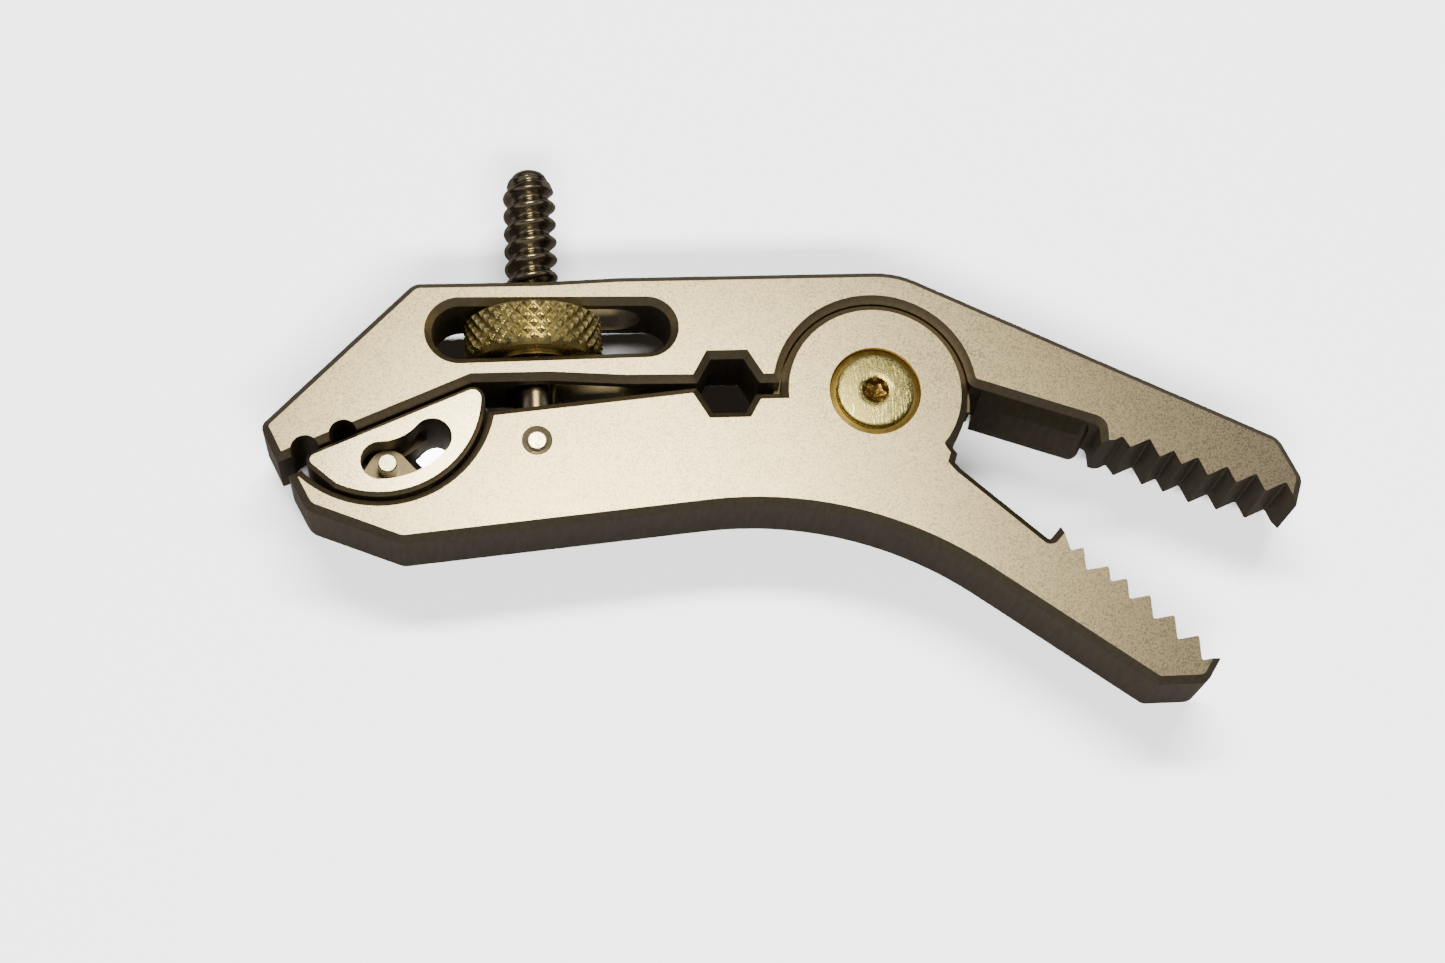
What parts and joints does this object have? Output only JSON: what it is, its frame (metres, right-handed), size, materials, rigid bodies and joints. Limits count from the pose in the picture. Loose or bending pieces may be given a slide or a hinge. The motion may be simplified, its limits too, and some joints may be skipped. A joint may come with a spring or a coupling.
{
  "type": "pipe wrench",
  "caption": "Pocket pipe wrench: two pivoted plate levers with toothed pipe jaws, a self-aligning rocker jaw opposite a nose jaw, and a knurled nut on a threaded stud that sets the opening.",
  "frame": {"origin": "on the pivot axis, at the middle of the levers' thickness", "axes": "+X from the pivot towards the toothed pipe jaws, +Y from the lower lever towards the upper lever and the stud's domed end, +Z along the pivot axis, out of the face with the pivot screw's head"},
  "size_m": [0.1083, 0.0602, 0.0148],
  "materials": {
    "upper_titanium": "bead-blasted titanium, satin grey with a warm cast",
    "lower_titanium": "bead-blasted titanium, satin grey with a warm cast",
    "rocker_steel": "bead-blasted, a little brighter than the levers",
    "pin_steel": "bright ground steel",
    "stud_steel": "dark turned steel, glossy",
    "nut_brass": "knurled brass, a little tarnished in the grooves",
    "washer_bronze": "dull bronze",
    "collar_brass": "golden brass, polished",
    "screw_brass": "pale brass, finely scratched"
  },
  "bodies": {
    "lower_half": {"lower_lever": "lower_titanium", "stud_pin": "pin_steel", "rocker_pin": "pin_steel", "pivot_barrel": "collar_brass", "pivot_screw": "screw_brass", "pivot_collar": "collar_brass", "pivot_washer_front": "washer_bronze", "pivot_washer_back": "washer_bronze"},
    "upper_half": {"upper_lever": "upper_titanium"},
    "rocker": {"rocker_jaw": "rocker_steel"},
    "stud": {"adjusting_stud": "stud_steel"},
    "nut_carriage": {"nut_washer": "washer_bronze"},
    "nut": {"thumb_nut": "nut_brass"}
  },
  "joints": [
    {"name": "lever_pivot", "type": "hinge", "parent": "lower_half", "child": "upper_half", "pos_m": [0, 0, 0], "axis": [0, 0, 1], "range_deg": [-22, 0]},
    {"name": "rocker_tilt", "type": "hinge", "parent": "lower_half", "child": "rocker", "pos_m": [-0.05165, 0.00067, 0], "axis": [0, 0, 1], "range_deg": [-22, 0]},
    {"name": "stud_swing", "type": "hinge", "parent": "lower_half", "child": "stud", "pos_m": [-0.03555, -0.0046, 0], "axis": [0, 0, 1], "range_deg": [-22, 0]},
    {"name": "nut_lift", "type": "slide", "parent": "stud", "child": "nut_carriage", "axis": [0, 1, 0], "range_m": [0, 0.0132]},
    {"name": "nut_spin", "type": "hinge", "parent": "nut_carriage", "child": "nut", "pos_m": [-0.03555, 0, 0], "axis": [0, 1, 0], "range_deg": [0, 2312.83]}
  ],
  "couplings": [
    {"joint": "rocker_tilt", "follows": "lever_pivot", "ratio": 1},
    {"joint": "stud_swing", "follows": "lever_pivot", "ratio": 1},
    {"joint": "nut_lift", "follows": "lever_pivot", "m_per_rad": -0.0343},
    {"joint": "nut_spin", "follows": "lever_pivot", "ratio": -105.13}
  ]
}
